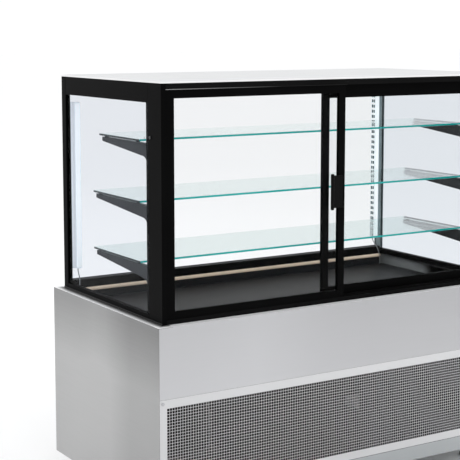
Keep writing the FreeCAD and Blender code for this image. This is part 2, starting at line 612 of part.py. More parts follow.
def cooling_nodes():
    """Condensing unit behind the grille and evaporator in the well."""
    floor = "tray_z + sheet"
    can_z = f"{floor} + comp_leg_h + comp_base_t"
    base = block("comp_base", "comp_x - comp_rad - comp_rim", "comp_x + comp_rad + comp_rim",
                 "comp_y - comp_base_y", "comp_y + comp_base_y", f"{floor} + comp_leg_h", can_z)
    mounts = [rod(f"comp_mount_{i}{j}", "z", "comp_leg_rad", "comp_leg_h", f"comp_x {i} comp_leg_x",
                  f"comp_y {j} comp_leg_y", floor) for i in "-+" for j in "-+"]
    dome = turned("comp_dome", [("0", "0"), ("comp_rad * 0.8", "0"), ("comp_rad", "comp_rad * 0.3"),
                                ("comp_rad", "comp_h * 0.62"), ("comp_rad * 0.86", "comp_h * 0.86"),
                                ("comp_rad * 0.5", "comp_h"), ("0", "comp_h")],
                  "comp_x", "comp_y", can_z)
    stub = rod("comp_stub", "x", "stub_rad", "stub_len", "comp_x + comp_rad - stub_in", "comp_y",
               f"{floor} + stub_z")
    keep(combine("fuse", "compressor", [base, dome, stub] + mounts))
    coil_x = ("fan_x - coil_w / 2", "fan_x + coil_w / 2")
    coil_z = ("fan_z - coil_h / 2", "fan_z + coil_h / 2")
    coil_back = "coil_y + coil_d"
    pack_block = block("condenser_pack", *coil_x, "coil_y", coil_back, *coil_z)
    grooves = []
    for i in range(16):
        start = f"fan_x - coil_w / 2 + groove_first + groove_pitch * {i}"
        grooves.append(block(f"condenser_groove_{i}", start, f"{start} + groove_w", "coil_y - over",
                             "coil_y + groove_deep", "fan_z - coil_h / 2 + groove_rim",
                             "fan_z + coil_h / 2 - groove_rim"))
    keep(cut("condenser_coil", pack_block, grooves))
    board = block("shroud_board", *coil_x, coil_back, f"{coil_back} + shroud_t", *coil_z)
    mouth = rod("shroud_mouth", "y", "fan_rad + shroud_gap", "shroud_t + 2 * over", "fan_x",
                f"{coil_back} - over", "fan_z")
    keep(cut("condenser_shroud", board, [mouth]))
    rotor = bladed_rotor("condenser_fan", 5, "fan_hub", "fan_rad", "shaft_rad + fit_gap", "fan_t", 50)
    keep(move(rotor, "fan_x", "fan_y", "fan_z", ALONG["y"]))
    motor = rod("fan_motor_can", "y", "motor_rad", "fan_motor_len", "fan_x",
                "fan_y + fan_t + fan_motor_gap", "fan_z")
    shaft = rod("fan_motor_shaft", "y", "shaft_rad", "fan_t + fan_motor_gap + shaft_out", "fan_x",
                "fan_y - shaft_out", "fan_z")
    bracket_y = "fan_y + fan_t + bracket_at"
    bracket_z = ("fan_z - bracket_half", "fan_z + bracket_half")
    cross = block("fan_motor_arm", *coil_x, bracket_y, f"{bracket_y} + bracket_t", *bracket_z)
    leg_spans = ((coil_x[0], f"{coil_x[0]} + bracket_t"), (f"{coil_x[1]} - bracket_t", coil_x[1]))
    legs = [block(f"fan_motor_leg_{side}", *span, f"{coil_back} + shroud_t", bracket_y, *bracket_z)
            for side, span in zip(SIDES, leg_spans)]
    keep(combine("fuse", "condenser_fan_motor", [motor, shaft, cross] + legs))
    drip_shell = block("drip_shell", "drip_x", "drip_x + drip_w", "drip_y", "drip_y + drip_d",
                       floor, f"{floor} + drip_h")
    drip_hollow = block("drip_hollow", "drip_x + drip_t", "drip_x + drip_w - drip_t", "drip_y + drip_t",
                        "drip_y + drip_d - drip_t", f"{floor} + drip_t", f"{floor} + drip_h + over")
    keep(cut("drip_tray", drip_shell, [drip_hollow]))
    keep(block("control_box", "box_x", "box_x + box_w", "box_y", "box_y + box_d", floor,
               f"{floor} + box_h"))
    well_floor = "well_z + foam_t"
    evap_x = ("evap_x - evap_w / 2", "evap_x + evap_w / 2")
    evap_pack = block("evap_pack", *evap_x, "evap_y - evap_d / 2", "evap_y + evap_d / 2",
                      well_floor, f"{well_floor} + evap_h")
    evap_grooves = []
    for i in range(20):
        start = f"evap_x - evap_w / 2 + evap_groove_first + groove_pitch * {i}"
        evap_grooves.append(block(f"evap_groove_{i}", start, f"{start} + groove_w",
                                  "evap_y - evap_d / 2 - over", "evap_y + evap_d / 2 + over",
                                  f"{well_floor} + evap_h - evap_groove_deep",
                                  f"{well_floor} + evap_h + over"))
    keep(cut("evaporator_coil", evap_pack, evap_grooves))
    evap_z = f"{well_floor} + evap_h / 2"
    spinner = bladed_rotor("evaporator_fan", 5, "evap_fan_hub", "evap_fan_rad", "shaft_rad + fit_gap",
                           "evap_fan_t", 50)
    keep(move(spinner, "evap_fan_x", "evap_y", evap_z, ALONG["x"]))
    leg_x = "evap_fan_x + evap_fan_t + evap_leg_at"
    keep(combine("fuse", "evaporator_fan_motor", [
        rod("evap_motor_can", "x", "evap_motor_rad", "evap_motor_len",
            "evap_fan_x + evap_fan_t + evap_motor_gap", "evap_y", evap_z),
        rod("evap_motor_shaft", "x", "shaft_rad", "evap_fan_t + evap_motor_gap + 2 * shaft_out",
            "evap_fan_x - shaft_out", "evap_y", evap_z),
        block("evap_motor_leg", leg_x, f"{leg_x} + evap_leg_t", "evap_y - evap_leg_half",
              "evap_y + evap_leg_half", well_floor, evap_z)]))


def control_nodes():
    """Control panel on the service side, with two push buttons and a rocker switch."""
    face = f"-({BASE_Y}) - panel_t"
    skin = f"-({BASE_Y})"
    middle = "panel_z + panel_h / 2"
    bezel = block("bezel_front", "panel_x", "panel_x + panel_w", face, skin, "panel_z",
                  "panel_z + panel_h")
    rim_x = "window_x + housing_gap"
    rim_z = "window_z + housing_gap"
    housing = block("bezel_housing", f"panel_x + {rim_x}", f"panel_x + panel_w - ({rim_x})", skin,
                    f"{skin} + housing_d", f"panel_z + {rim_z}", f"panel_z + panel_h - ({rim_z})")
    buttons = (("up_button", "panel_x + up_x"), ("down_button", "panel_x + down_x"))
    holes = [rod(f"{name}_hole", "y", "button_rad + fit_gap", "panel_t + 4", x, f"{face} - 1", middle)
             for name, x in buttons]
    display = block("display_recess", "panel_x + display_x", "panel_x + display_x + display_w",
                    f"{face} - over", f"{face} + display_deep", f"{middle} - display_half",
                    f"{middle} + display_half")
    tip_x = "panel_x + rocker_x"
    half_x = "rocker_w / 2 + rocker_gap"
    half_z = "rocker_h / 2 + rocker_slack"
    switch = block("rocker_recess", f"{tip_x} - ({half_x})", f"{tip_x} + {half_x}", f"{face} - over",
                   f"{face} + panel_t + rocker_room", f"{middle} - ({half_z})", f"{middle} + {half_z}")
    keep(cut("control_bezel", combine("fuse", "bezel_solid", [bezel, housing]),
             holes + [display, switch]))
    for name, x in buttons:
        keep(rod(name, "y", "button_rad", "button_t", x, f"{face} - button_out", middle))
    # The rocker's face is a shallow V, lowest in the middle, and tips about its own X.
    crest = f"{face} - rocker_out"
    heel = f"{crest} + rocker_t"
    rocker = [(crest, f"{middle} - rocker_h / 2"), (heel, f"{middle} - rocker_h / 2 + rocker_taper"),
              (heel, f"{middle} + rocker_h / 2 - rocker_taper"), (crest, f"{middle} + rocker_h / 2"),
              (f"{face} - rocker_dip", middle)]
    key = prism("rocker_key", "YZ_Plane", rocker, "rocker_w", x=f"{tip_x} - rocker_w / 2")
    pivot = rod("rocker_pivot", "x", "pivot_rad", "rocker_w + 2 * pivot_out",
                f"{tip_x} - rocker_w / 2 - pivot_out", f"{face} + pivot_y", middle)
    keep(combine("fuse", "power_rocker", [key, pivot]))
    nut_z = "tray_z - gland_nut_h"
    gland = combine("fuse", "gland_solid", [
        rod("gland_body", "z", "gland_rad", "gland_top + gland_nose_h", *GLAND_AT,
            "tray_z - gland_nose_h"),
        rod("gland_nut", "z", "gland_rad + gland_nut_lap", "gland_nut_h", *GLAND_AT, nut_z),
        rod("gland_nose", "z", "gland_rad - 2", "gland_nose_h", *GLAND_AT, "tray_z - gland_low")])
    bore = rod("gland_bore", "z", "gland_bore_rad", "gland_low + gland_top + 2 * over", *GLAND_AT,
               "tray_z - gland_low - over")
    keep(cut("cable_gland", gland, [bore]))


def screw_nodes():
    """Button-head screws: two through the jambs and four at the corners of the grille."""
    screws = []
    for side in SIDES:
        head_x = signed(side, HALF_W) if side == "right" else f"-{HALF_W} - screw_head_t"
        shank_x = f"-{HALF_W}" if side == "left" else f"{HALF_W} - screw_len"
        screws.append(combine("fuse", f"jamb_screw_{side}", [
            rod(f"jamb_head_{side}", "x", "screw_head", "screw_head_t", head_x, *JAMB_SCREW_AT),
            rod(f"jamb_shank_{side}", "x", "screw_rad", "screw_len", shank_x, *JAMB_SCREW_AT)]))
    across = f"{BASE_X} - sheet - grille_margin / 2"
    heights = (f"{TRAY_TOP} + seam + grille_margin / 2", f"{SERVICE_LOW} - seam - grille_margin / 2")
    for i, x in enumerate((f"-({across})", across)):
        for j, z in enumerate(heights):
            screws.append(combine("fuse", f"grille_screw_{i}{j}", [
                rod(f"grille_head_{i}{j}", "y", "screw_head", "screw_head_t",
                    x, f"-({BASE_Y}) - screw_head_t", z),
                rod(f"grille_shank_{i}{j}", "y", "screw_rad", "screw_len", x, f"-({BASE_Y})", z)]))
    keep(combine("group", "panel_screws", screws))


def check_and_write():
    """Stop on any failed object or bad shape, then write one STEP file per sub-part."""
    document.recompute()
    failed = [item.Name for item in document.Objects if {"Invalid", "Error"} & set(item.State)]
    if failed:
        raise SystemExit("failed objects: " + ", ".join(failed))
    for item in nodes:
        if item.Shape.isNull() or not item.Shape.isValid() or not item.Shape.Solids:
            raise SystemExit("bad shape: " + item.Label)
    os.makedirs("parts", exist_ok=True)
    for item in nodes:
        item.Shape.exportStep(f"parts/{item.Label}.step")
    print(len(nodes), "nodes written")


fill_sheet()
base_nodes()
well_nodes()
frame_nodes()
door_nodes("left", f"-({OPENING_X}) + end_gap", "left_door_edge", "outer_stile", "meeting_stile",
           "left_low_rail", "left_high_rail", LEFT_DOOR_Y, "left_door_edge - meeting_stile")
door_nodes("right", "right_door_edge", f"{OPENING_X} - end_gap", "meeting_stile", "outer_stile",
           "right_low_rail", "right_high_rail", RIGHT_DOOR_Y,
           f"{OPENING_X} - end_gap - outer_stile")
shelf_nodes()
light_nodes()
cooling_nodes()
control_nodes()
screw_nodes()
check_and_write()
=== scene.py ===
"""Looks of the bakery display case: rounded metal, glass, lights, lighting and camera."""

import json
import math

import bmesh
import bpy
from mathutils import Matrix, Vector


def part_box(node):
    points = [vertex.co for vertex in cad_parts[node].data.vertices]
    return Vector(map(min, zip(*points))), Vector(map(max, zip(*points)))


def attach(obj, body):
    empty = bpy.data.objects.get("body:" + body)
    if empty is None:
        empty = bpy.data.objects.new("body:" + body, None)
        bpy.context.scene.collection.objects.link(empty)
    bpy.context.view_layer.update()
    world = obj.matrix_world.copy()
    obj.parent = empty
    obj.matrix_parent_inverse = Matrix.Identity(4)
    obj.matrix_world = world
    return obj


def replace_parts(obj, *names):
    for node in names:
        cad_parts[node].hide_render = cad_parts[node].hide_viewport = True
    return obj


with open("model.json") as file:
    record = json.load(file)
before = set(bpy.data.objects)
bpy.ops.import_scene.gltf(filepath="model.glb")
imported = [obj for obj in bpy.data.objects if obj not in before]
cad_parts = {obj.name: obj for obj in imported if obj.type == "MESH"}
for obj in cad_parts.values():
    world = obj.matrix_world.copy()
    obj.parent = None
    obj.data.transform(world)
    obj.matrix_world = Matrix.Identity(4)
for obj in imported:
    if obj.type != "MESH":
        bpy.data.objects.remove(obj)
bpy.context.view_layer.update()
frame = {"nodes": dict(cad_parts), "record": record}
record = frame["record"]
BODY_OF = {node: body for body, members in record["behaviour"]["bodies"].items() for node in members}
SLOT_OF = {entry["node"]: entry["material_slot"] for entry in record["subparts"]}
SIDES = ("left", "right")
MM = 0.001
CABIN_HALF_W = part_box("door_jambs")[1].x
CABIN_HALF_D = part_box("customer_posts")[1].y
# Nearly all of a noise lies between these two values.
NOISE_LOW = 0.3
NOISE_HIGH = 0.7
# Two places closer than this count as the same.
CLOSE = 0.1 * MM


# ---------------------------------------------------------------- materials

class Graph:
    """One material's node tree, with short calls to add and join nodes."""

    def __init__(self, name):
        self.material = bpy.data.materials.new(name)
        self.material.use_nodes = True
        self.tree = self.material.node_tree
        self.shader = self.tree.nodes["Principled BSDF"]
        self.output = self.tree.nodes["Material Output"]

    def add(self, kind, **inputs):
        node = self.tree.nodes.new("ShaderNode" + kind)
        for name, value in inputs.items():
            node.inputs[name.replace("_", " ")].default_value = value
        return node

    def link(self, source, target):
        self.tree.links.new(source, target)

    def place(self, stretch):
        """The piece's own coordinates in metres, stretched by a factor along each axis."""
        where = self.add("TexCoord")
        mapping = self.add("Mapping", Scale=stretch)
        self.link(where.outputs["Object"], mapping.inputs["Vector"])
        return mapping.outputs["Vector"]

    def coordinates(self):
        """The piece's own X, Y and Z in metres, one output each."""
        split = self.add("SeparateXYZ")
        self.link(self.place((1, 1, 1)), split.inputs["Vector"])
        return split.outputs

    def noise(self, stretch, detail=3.0):
        texture = self.add("TexNoise", Scale=1.0, Detail=detail)
        self.link(self.place(stretch), texture.inputs["Vector"])
        return texture.outputs["Fac"]

    def spread(self, value, low, high):
        """Map the middle of a noise onto low..high."""
        node = self.add("MapRange", From_Min=NOISE_LOW, From_Max=NOISE_HIGH, To_Min=low, To_Max=high)
        self.link(value, node.inputs["Value"])
        return node.outputs["Result"]

    def tint(self, value, dark, light):
        """A colour between dark and light, as a value passes through the middle of a noise."""
        node = self.add("MapRange", From_Min=NOISE_LOW, From_Max=NOISE_HIGH)
        self.link(value, node.inputs["Value"])
        mix = self.tree.nodes.new("ShaderNodeMix")
        mix.data_type = "RGBA"
        self.link(node.outputs["Result"], mix.inputs["Factor"])
        mix_a = [socket for socket in mix.inputs if socket.name == "A" and socket.type == "RGBA"][0]
        mix_b = [socket for socket in mix.inputs if socket.name == "B" and socket.type == "RGBA"][0]
        mix_a.default_value = (*dark, 1)
        mix_b.default_value = (*light, 1)
        return [socket for socket in mix.outputs if socket.type == "RGBA"][0]

    def slope(self, value, axis, dark_at, light_at, amount):
        """Lower a value at one place along an axis and raise it at another."""
        along = self.add("MapRange", From_Min=dark_at, From_Max=light_at, To_Min=-amount, To_Max=amount)
        self.link(self.coordinates()[axis], along.inputs["Value"])
        total = self.add("Math")
        self.link(value, total.inputs[0])
        self.link(along.outputs["Result"], total.inputs[1])
        return total.outputs["Value"]

    def bump(self, height, strength, distance):
        node = self.add("Bump", Strength=strength, Distance=distance)
        self.link(height, node.inputs["Height"])
        self.link(node.outputs["Normal"], self.shader.inputs["Normal"])


def painted_highlight_fade(name, bright, near_x, far_x):
    """A painted highlight on an edge, bright at near_x and dulling to black at far_x."""
    graph = Graph(name)
    along = graph.add("MapRange", From_Min=far_x, From_Max=near_x, To_Min=NOISE_LOW, To_Max=NOISE_HIGH)
    graph.link(graph.coordinates()["X"], along.inputs["Value"])
    graph.link(graph.tint(along.outputs["Result"], (0.004,) * 3, bright),
               graph.shader.inputs["Base Color"])
    fine = graph.noise((900.0,) * 3, 2.0)
    graph.link(graph.spread(fine, 0.4, 0.55), graph.shader.inputs["Roughness"])
    graph.shader.inputs["Specular IOR Level"].default_value = 0.1
    return graph.material


def ledge_shade(name, dark, light, dark_at, light_at):
    """A bare ledge round the cabin: painted shadow close to it and a painted highlight along its outer
    fold.
    """
    graph = Graph(name)
    place = graph.coordinates()
    beyond = graph.add("Math")
    beyond.operation = "MAXIMUM"
    for axis, half, socket in (("X", CABIN_HALF_W, 0), ("Y", CABIN_HALF_D, 1)):
        size = graph.add("Math")
        size.operation = "ABSOLUTE"
        graph.link(place[axis], size.inputs[0])
        past = graph.add("Math")
        past.operation = "SUBTRACT"
        past.inputs[1].default_value = half
        graph.link(size.outputs["Value"], past.inputs[0])
        graph.link(past.outputs["Value"], beyond.inputs[socket])
    along = graph.add("MapRange", From_Min=dark_at, From_Max=light_at, To_Min=NOISE_LOW,
                      To_Max=NOISE_HIGH)
    graph.link(beyond.outputs["Value"], along.inputs["Value"])
    graph.link(graph.tint(along.outputs["Result"], dark, light), graph.shader.inputs["Base Color"])
    fine = graph.noise((9.0, 900.0, 900.0), 2.0)
    graph.link(graph.spread(fine, 0.42, 0.55), graph.shader.inputs["Roughness"])
    return graph.material


def shades(colour, amount):
    """A darker and a lighter version of a colour."""
    return [tuple(channel * factor for channel in colour) for factor in (1 - amount, 1 + amount)]


def brushed(name, colour, rough, along, metal=1.0, clouding=0.05, painted_shade_slopes=()):
    """Sheet metal with fine streaks and slow clouding, and painted shade: lighter towards one end of
    each slope.
    """
    graph = Graph(name)
    streak = [1400.0, 1400.0, 1400.0]
    streak["xyz".index(along)] = 9.0
    lines = graph.noise(streak, 4.0)
    clouds = graph.spread(graph.noise((2.4, 2.4, 0.5), 1.0), 0.45, 0.55)
    for slope in painted_shade_slopes:
        clouds = graph.slope(clouds, *slope)
    graph.link(graph.tint(clouds, *shades(colour, clouding)), graph.shader.inputs["Base Color"])
    graph.link(graph.spread(lines, rough - 0.05, rough + 0.06), graph.shader.inputs["Roughness"])
    graph.shader.inputs["Metallic"].default_value = metal
    graph.bump(lines, 0.12, 0.00006)
    return graph.material


def painted(name, colour, rough, grain=900.0, clouding=0.18, specular=0.4):
    """Powder coat or anodising: a fine even grain with slightly uneven shine."""
    graph = Graph(name)
    fine = graph.noise((grain,) * 3, 2.0)
    clouds = graph.noise((6.0, 6.0, 6.0), 3.0)
    graph.link(graph.tint(clouds, *shades(colour, clouding)), graph.shader.inputs["Base Color"])
    graph.link(graph.spread(fine, rough - 0.06, rough + 0.08), graph.shader.inputs["Roughness"])
    graph.shader.inputs["Specular IOR Level"].default_value = specular
    graph.bump(fine, 0.16, 0.00008)
    return graph.material


def glowing(material, colour, strength):
    """Give a material some light of its own: real on the lit boards, painted light on parts that are no
    lamp.
    """
    shader = material.node_tree.nodes["Principled BSDF"]
    shader.inputs["Emission Color"].default_value = (*colour, 1)
    shader.inputs["Emission Strength"].default_value = strength
    return material


def pane(name, through, facing, glancing):
    """Thin clear glass, with its share of mirror seen face on and along the surface."""
    graph = Graph(name)
    clear = graph.add("BsdfTransparent", Color=(*through, 1))
    mirror = graph.add("BsdfGlossy", Color=(1, 1, 1, 1))
    slant = graph.add("LayerWeight", Blend=0.5)
    steep = graph.add("Math")
    steep.operation = "POWER"
    steep.inputs[1].default_value = 5.0
    share = graph.add("MapRange", To_Min=facing, To_Max=glancing)
    blend = graph.add("MixShader")
    smudge = graph.noise((7.0, 7.0, 5.0), 4.0)
    graph.link(graph.spread(smudge, 0.012, 0.035), mirror.inputs["Roughness"])
    graph.link(slant.outputs["Facing"], steep.inputs[0])
    graph.link(steep.outputs["Value"], share.inputs["Value"])
    graph.link(share.outputs["Result"], blend.inputs["Fac"])
    graph.link(clear.outputs["BSDF"], blend.inputs[1])
    graph.link(mirror.outputs["BSDF"], blend.inputs[2])
    graph.link(blend.outputs["Shader"], graph.output.inputs["Surface"])
    return graph.material


def glass_edge(name, colour, glow):
    """The ground edge of float glass, where the green of the glass gathers, with a painted glow."""
    graph = Graph(name)
    bands = graph.noise((3.0, 3.0, 260.0), 2.0)
    graph.link(graph.tint(bands, *shades(colour, 0.14)), graph.shader.inputs["Base Color"])
    graph.link(graph.spread(bands, 0.10, 0.22), graph.shader.inputs["Roughness"])
    return glowing(graph.material, colour, glow)


def lit(name, colour, strength):
    """A lit surface, brighter and dimmer along its length as its lamps repeat."""
    graph = Graph(name)
    flow = graph.noise((40.0, 40.0, 60.0), 1.0)
    graph.link(graph.tint(flow, *shades(colour, 0.04)), graph.shader.inputs["Base Color"])
    graph.link(graph.spread(flow, 0.25, 0.4), graph.shader.inputs["Roughness"])
    return glowing(graph.material, colour, strength)


MATERIALS = {
    "galvanised_steel": brushed("galvanised_sheet", (0.44, 0.46, 0.47), 0.42, "x"),
    # Painted shade: the front and back steel gets lighter towards the bottom and the left end, darker
    # high and to the right.
    "brushed_steel": brushed("brushed_steel", (0.518, 0.518, 0.532), 0.38, "x", 1.0, 0.14,
                             (("Z", 0.55, 0.36, 0.08), ("X", 0.08, -0.32, 0.11))),
    "grille_steel": brushed("grille_steel", (0.66, 0.66, 0.67), 0.40, "x", 1.0, 0.05),
    # Painted shade: the stainless well liner is near black where it lies in shade; only its inward
    # sides get the grey well_side.
    "well_liner": painted("well_liner", (0.02, 0.021, 0.023), 0.5, specular=0.1),
    "deck_dark": painted("deck_satin", (0.022, 0.023, 0.024), 0.42, 600.0, specular=0.12),
    # Painted light: the cream outlet strip glows, though it is no lamp.
    "cream_plastic": glowing(painted("cream_plastic", (0.95, 0.76, 0.60), 0.40, 500.0, 0.03, 0.3),
                             (0.95, 0.74, 0.56), 0.17),
    "black_frame": painted("black_anodised", (0.0026, 0.0026, 0.0027), 0.34, specular=0.016),
    "handle_black": painted("handle_black", (0.0022, 0.0022, 0.0022), 0.26, 700.0, specular=0.07),
    "top_white": painted("top_white", (0.63, 0.635, 0.64), 0.50, 800.0, 0.015),
    "clear_glass": pane("pane_glass", (0.968, 0.970, 0.973), 0.002, 0.25),
    "shelf_glass": pane("shelf_glass", (0.86, 0.915, 0.905), 0.02, 0.8),
    "arm_grey": painted("arm_grey", (0.030, 0.033, 0.036), 0.38, 420.0, 0.25, 0.2),
    "clear_pad": painted("pad_soft", (0.03, 0.04, 0.04), 0.30, 300.0),
    # Painted light: the light channels are a near-white, barely metallic aluminium that glows, though
    # the lamps sit on the boards.
    "aluminium": glowing(brushed("channel_painted_glow", (0.84, 0.87, 0.90), 0.42, "z", 0.1),
                         (0.90, 0.94, 0.97), 0.34),
    "light_white": lit("lit_board", (0.92, 0.96, 0.98), 0.50),
    "grey_lead": painted("lead_sheath", (0.34, 0.35, 0.36), 0.45, 1500.0),
    "black_paint": painted("black_enamel", (0.008, 0.008, 0.008), 0.35, 350.0, specular=0.12),
    "fin_aluminium": painted("coated_fins", (0.010, 0.010, 0.011), 0.5, specular=0.08),
    "black_plastic": painted("black_moulding", (0.012, 0.012, 0.013), 0.45, 1100.0, specular=0.12),
    "motor_grey": painted("motor_enamel", (0.10, 0.105, 0.11), 0.40),
    "grey_plastic": painted("grey_moulding", (0.20, 0.21, 0.22), 0.48, 900.0),
    "button_grey": painted("button_grey", (0.11, 0.115, 0.12), 0.42, 1000.0),
    "rocker_green": painted("rocker_green", (0.02, 0.20, 0.06), 0.22, 1000.0),
    "screw_steel": brushed("screw_steel", (0.52, 0.52, 0.54), 0.28, "y"),
    "nylon_white": painted("nylon_white", (0.66, 0.65, 0.60), 0.42, 800.0),
    "foot_black": painted("foot_black", (0.02, 0.02, 0.02), 0.62, 500.0),
}
# Painted shade: a darker copy of the pane glass for the side panes.
SIDE_PANE_PAINTED_SHADE = pane("side_pane_painted_shade", (0.908, 0.920, 0.94), 0.002, 0.15)
# Painted light: the shelves' long edges glow teal, and their short ends are a dark copy, painted shade.
EDGE_PAINTED_GLOW = glass_edge("edge_painted_glow", (0.003, 0.36, 0.34), 0.22)
EDGE_PAINTED_SHADE = glass_edge("edge_painted_shade", (0.002, 0.012, 0.014), 0.0)
EDGE_HELD = painted("edge_gasket", (0.004, 0.004, 0.004), 0.6, 900.0, specular=0.03)
# Painted shade: a darker copy of the front steel for the side panels, darker again towards the top and
# the front and back ends, with a wide tone range.
SIDE_STEEL_PAINTED_SHADE = brushed("side_steel_painted_shade", (0.345, 0.345, 0.345), 0.40, "y", 1.0, 0.36,
                     (("Z", 0.55, 0.38, 0.13), ("Y", -0.16, -0.02, 0.055), ("Y", 0.30, 0.06, 0.055)))
# Painted highlight: the top panel's edges, in a brighter copy of its white.
TOP_EDGE_PAINTED_HIGHLIGHT = painted("top_edge_painted_highlight", (0.86, 0.86, 0.86), 0.4, 800.0, 0.015)
# Painted light: the side ledges, in painted shadow near the cabin and a painted highlight along the
# outer fold.
LEDGE_PAINTED_LIGHT = ledge_shade("ledge_painted_light", (0.10, 0.10, 0.10), (0.93, 0.93, 0.94), 0.006, 0.019)
# Painted highlight: the header lip's bright line, fading to black along X.
LIP_PAINTED_HIGHLIGHT = painted_highlight_fade("lip_painted_highlight", (0.34, 0.34, 0.34), -0.58, -0.22)
# Grey strips along the foot of the bottom rails' outer faces.
RAIL_FOOT_GREY = painted("rail_foot_grey", (0.05, 0.05, 0.05), 0.5, 700.0, specular=0.05)
# Painted shade: near black for parts that lie in the dark inside of the base.
INSIDE_PAINTED_SHADE = painted("inside_painted_shade", (0.007, 0.007, 0.007), 0.6, 500.0, specular=0.05)
# Painted light: a grey copy of the black frame for the lit faces of the right-hand post.
POST_PAINTED_LIGHT = painted("post_painted_light", (0.27, 0.32, 0.33), 0.42, 700.0, specular=0.05)
# Painted shade: a darker copy of the screw steel for the jamb screws.
JAMB_SCREW_PAINTED_SHADE = brushed("jamb_screw_painted_shade", (0.07, 0.07, 0.075), 0.30, "y")
# Painted highlight: the top folds of the long panels, in a bright, barely metallic copy of the steel.
LEDGE_LONG_PAINTED_HIGHLIGHT = brushed("ledge_long_painted_highlight", (0.82, 0.82, 0.83), 0.5, "x", 0.05)
# Painted light: a lighter copy of the black frame for the header, sill and track fins.
BEAM_PAINTED_LIGHT = painted("black_beam_painted_light", (0.0065, 0.0065, 0.0066), 0.36, specular=0.012)
WELL_SIDE = painted("well_side", (0.24, 0.245, 0.25), 0.42, 700.0, specular=0.1)
# Painted shade: the inner faces of the base's sheets, black for the dark inside of the closed base.
CLADDING_PAINTED_SHADE = painted("compartment_painted_shade", (0.006, 0.006, 0.006), 0.8, 300.0, specular=0.05)
CHIP = painted("light_chip", (0.02, 0.075, 0.09), 0.3, 1200.0, specular=0.1)
# Painted shade: a darker copy of the pane glass for the right door.
RIGHT_PANE_PAINTED_SHADE = pane("right_pane_painted_shade", (0.948, 0.956, 0.958), 0.002, 0.25)
# Painted shade: the dark of a screw's cross recess, on a thin box.
RECESS_PAINTED_SHADE = painted("recess_painted_shade", (0.006, 0.006, 0.006), 0.7)


# ------------------------------------------------------------ mesh building

def solid_of(node):
    """A CAD node's shape as a mesh with its flat faces whole again, ready for rounding."""
    mesh = bmesh.new()
    mesh.from_mesh(frame["nodes"][node].data)
    bmesh.ops.remove_doubles(mesh, verts=mesh.verts, dist=0.00001)
    bmesh.ops.dissolve_limit(mesh, angle_limit=math.radians(1), verts=mesh.verts, edges=mesh.edges)
    return mesh


def finish_piece(name, mesh, node, materials):
    """Turn a bmesh into a piece that stands for a CAD node and rides on its body."""
    data = bpy.data.meshes.new(name)
    mesh.to_mesh(data)
    mesh.free()
    data.shade_smooth()
    for material in materials:
        data.materials.append(material)
    piece = bpy.data.objects.new(name, data)
    bpy.context.scene.collection.objects.link(piece)
    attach(piece, BODY_OF[node])
    return piece


def round_edges(piece, radius, segments=2):
    """Break every hard edge, as real extrusions, folds and mouldings have."""
    modifier = piece.modifiers.new("edge_round", "BEVEL")
    modifier.width = radius
    modifier.segments = segments
    modifier.limit_method = "ANGLE"
    modifier.angle_limit = math.radians(35)
    modifier.harden_normals = True
    flatten = piece.modifiers.new("flat_faces", "WEIGHTED_NORMAL")
    flatten.keep_sharp = True


def rounded(node, radius, segments=2, materials=None, pick=None):
    """Replace a CAD node by the same shape with its edges broken. pick gives a face's material."""
    mesh = solid_of(node)
    if pick:
        for face in mesh.faces:
            face.material_index = pick(face)
    piece = finish_piece(node + "_look", mesh, node, materials or [MATERIALS[SLOT_OF[node]]])
    round_edges(piece, radius, segments)
    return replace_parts(piece, node)


def box_into(mesh, low, high):
    """Add a box between two corners to a mesh."""
    corners = [Vector((x, y, z)) for x in (low[0], high[0]) for y in (low[1], high[1])
               for z in (low[2], high[2])]
    verts = [mesh.verts.new(corner) for corner in corners]
    for ring in ((0, 1, 3, 2), (4, 6, 7, 5), (0, 4, 5, 1), (2, 3, 7, 6), (0, 2, 6, 4), (1, 5, 7, 3)):
        mesh.faces.new([verts[i] for i in ring])


def box_piece(name, boxes, node, material):
    """A piece made of separate boxes, each given by its two corners."""
    mesh = bmesh.new()
    for low, high in boxes:
        box_into(mesh, low, high)
    bmesh.ops.recalc_face_normals(mesh, faces=mesh.faces)
    return finish_piece(name, mesh, node, [material])


# ------------------------------------------------------------------- pieces

# Between the base's lower flanges and its top fold.
LEDGE_Z = 560 * MM


def frame_pieces():
    """Extrusions, cladding and small parts keep their CAD shape with broken edges."""
    # The beams and fins take the lighter black copy: painted light.
    for node, radius in (("header_beam", 1.0), ("sill_beam", 0.6), ("track_fins", 0.5)):
        rounded(node, radius * MM, 2, [BEAM_PAINTED_LIGHT])
    for node, radius in (("door_jambs", 1.5), ("bottom_rails", 1.0), ("top_rails", 1.0),
                         ("shelf_uprights", 0.8), ("display_deck", 0.5), ("control_box", 3.0),
                         ("condenser_coil", 0.5), ("evaporator_coil", 0.5), ("light_channels", 0.4),
                         ("control_bezel", 0.8), ("power_rocker", 0.8)):
        rounded(node, radius * MM)
    # Painted shade: the drip tray and shroud are black because they sit in the dark inside the base.
    for node in ("drip_tray", "condenser_shroud"):
        rounded(node, 0.6 * MM, 2, [INSIDE_PAINTED_SHADE])
    rounded("customer_posts", 1.5 * MM, 2, [MATERIALS["black_frame"], POST_PAINTED_LIGHT], post_light_faces)
    # The liner is painted shade, except its inward sides, which are grey.
    rounded("insulated_well", 1.0 * MM, 2, [MATERIALS["well_liner"], WELL_SIDE],
            lambda face: 1 if inward_side(face) else 0)
    for node in ("left_shelf_arms", "right_shelf_arms"):
        rounded(node, 0.8 * MM)
    rounded("top_panel", 1.0 * MM, 2, [MATERIALS["top_white"], TOP_EDGE_PAINTED_HIGHLIGHT],
            lambda face: 0 if abs(face.normal.z) > 0.9 else 1)


def inward_side(face):
    """True for a face that looks sideways into the cabin."""
    return face.normal.x * face.calc_center_median().x < 0 and abs(face.normal.x) > 0.9


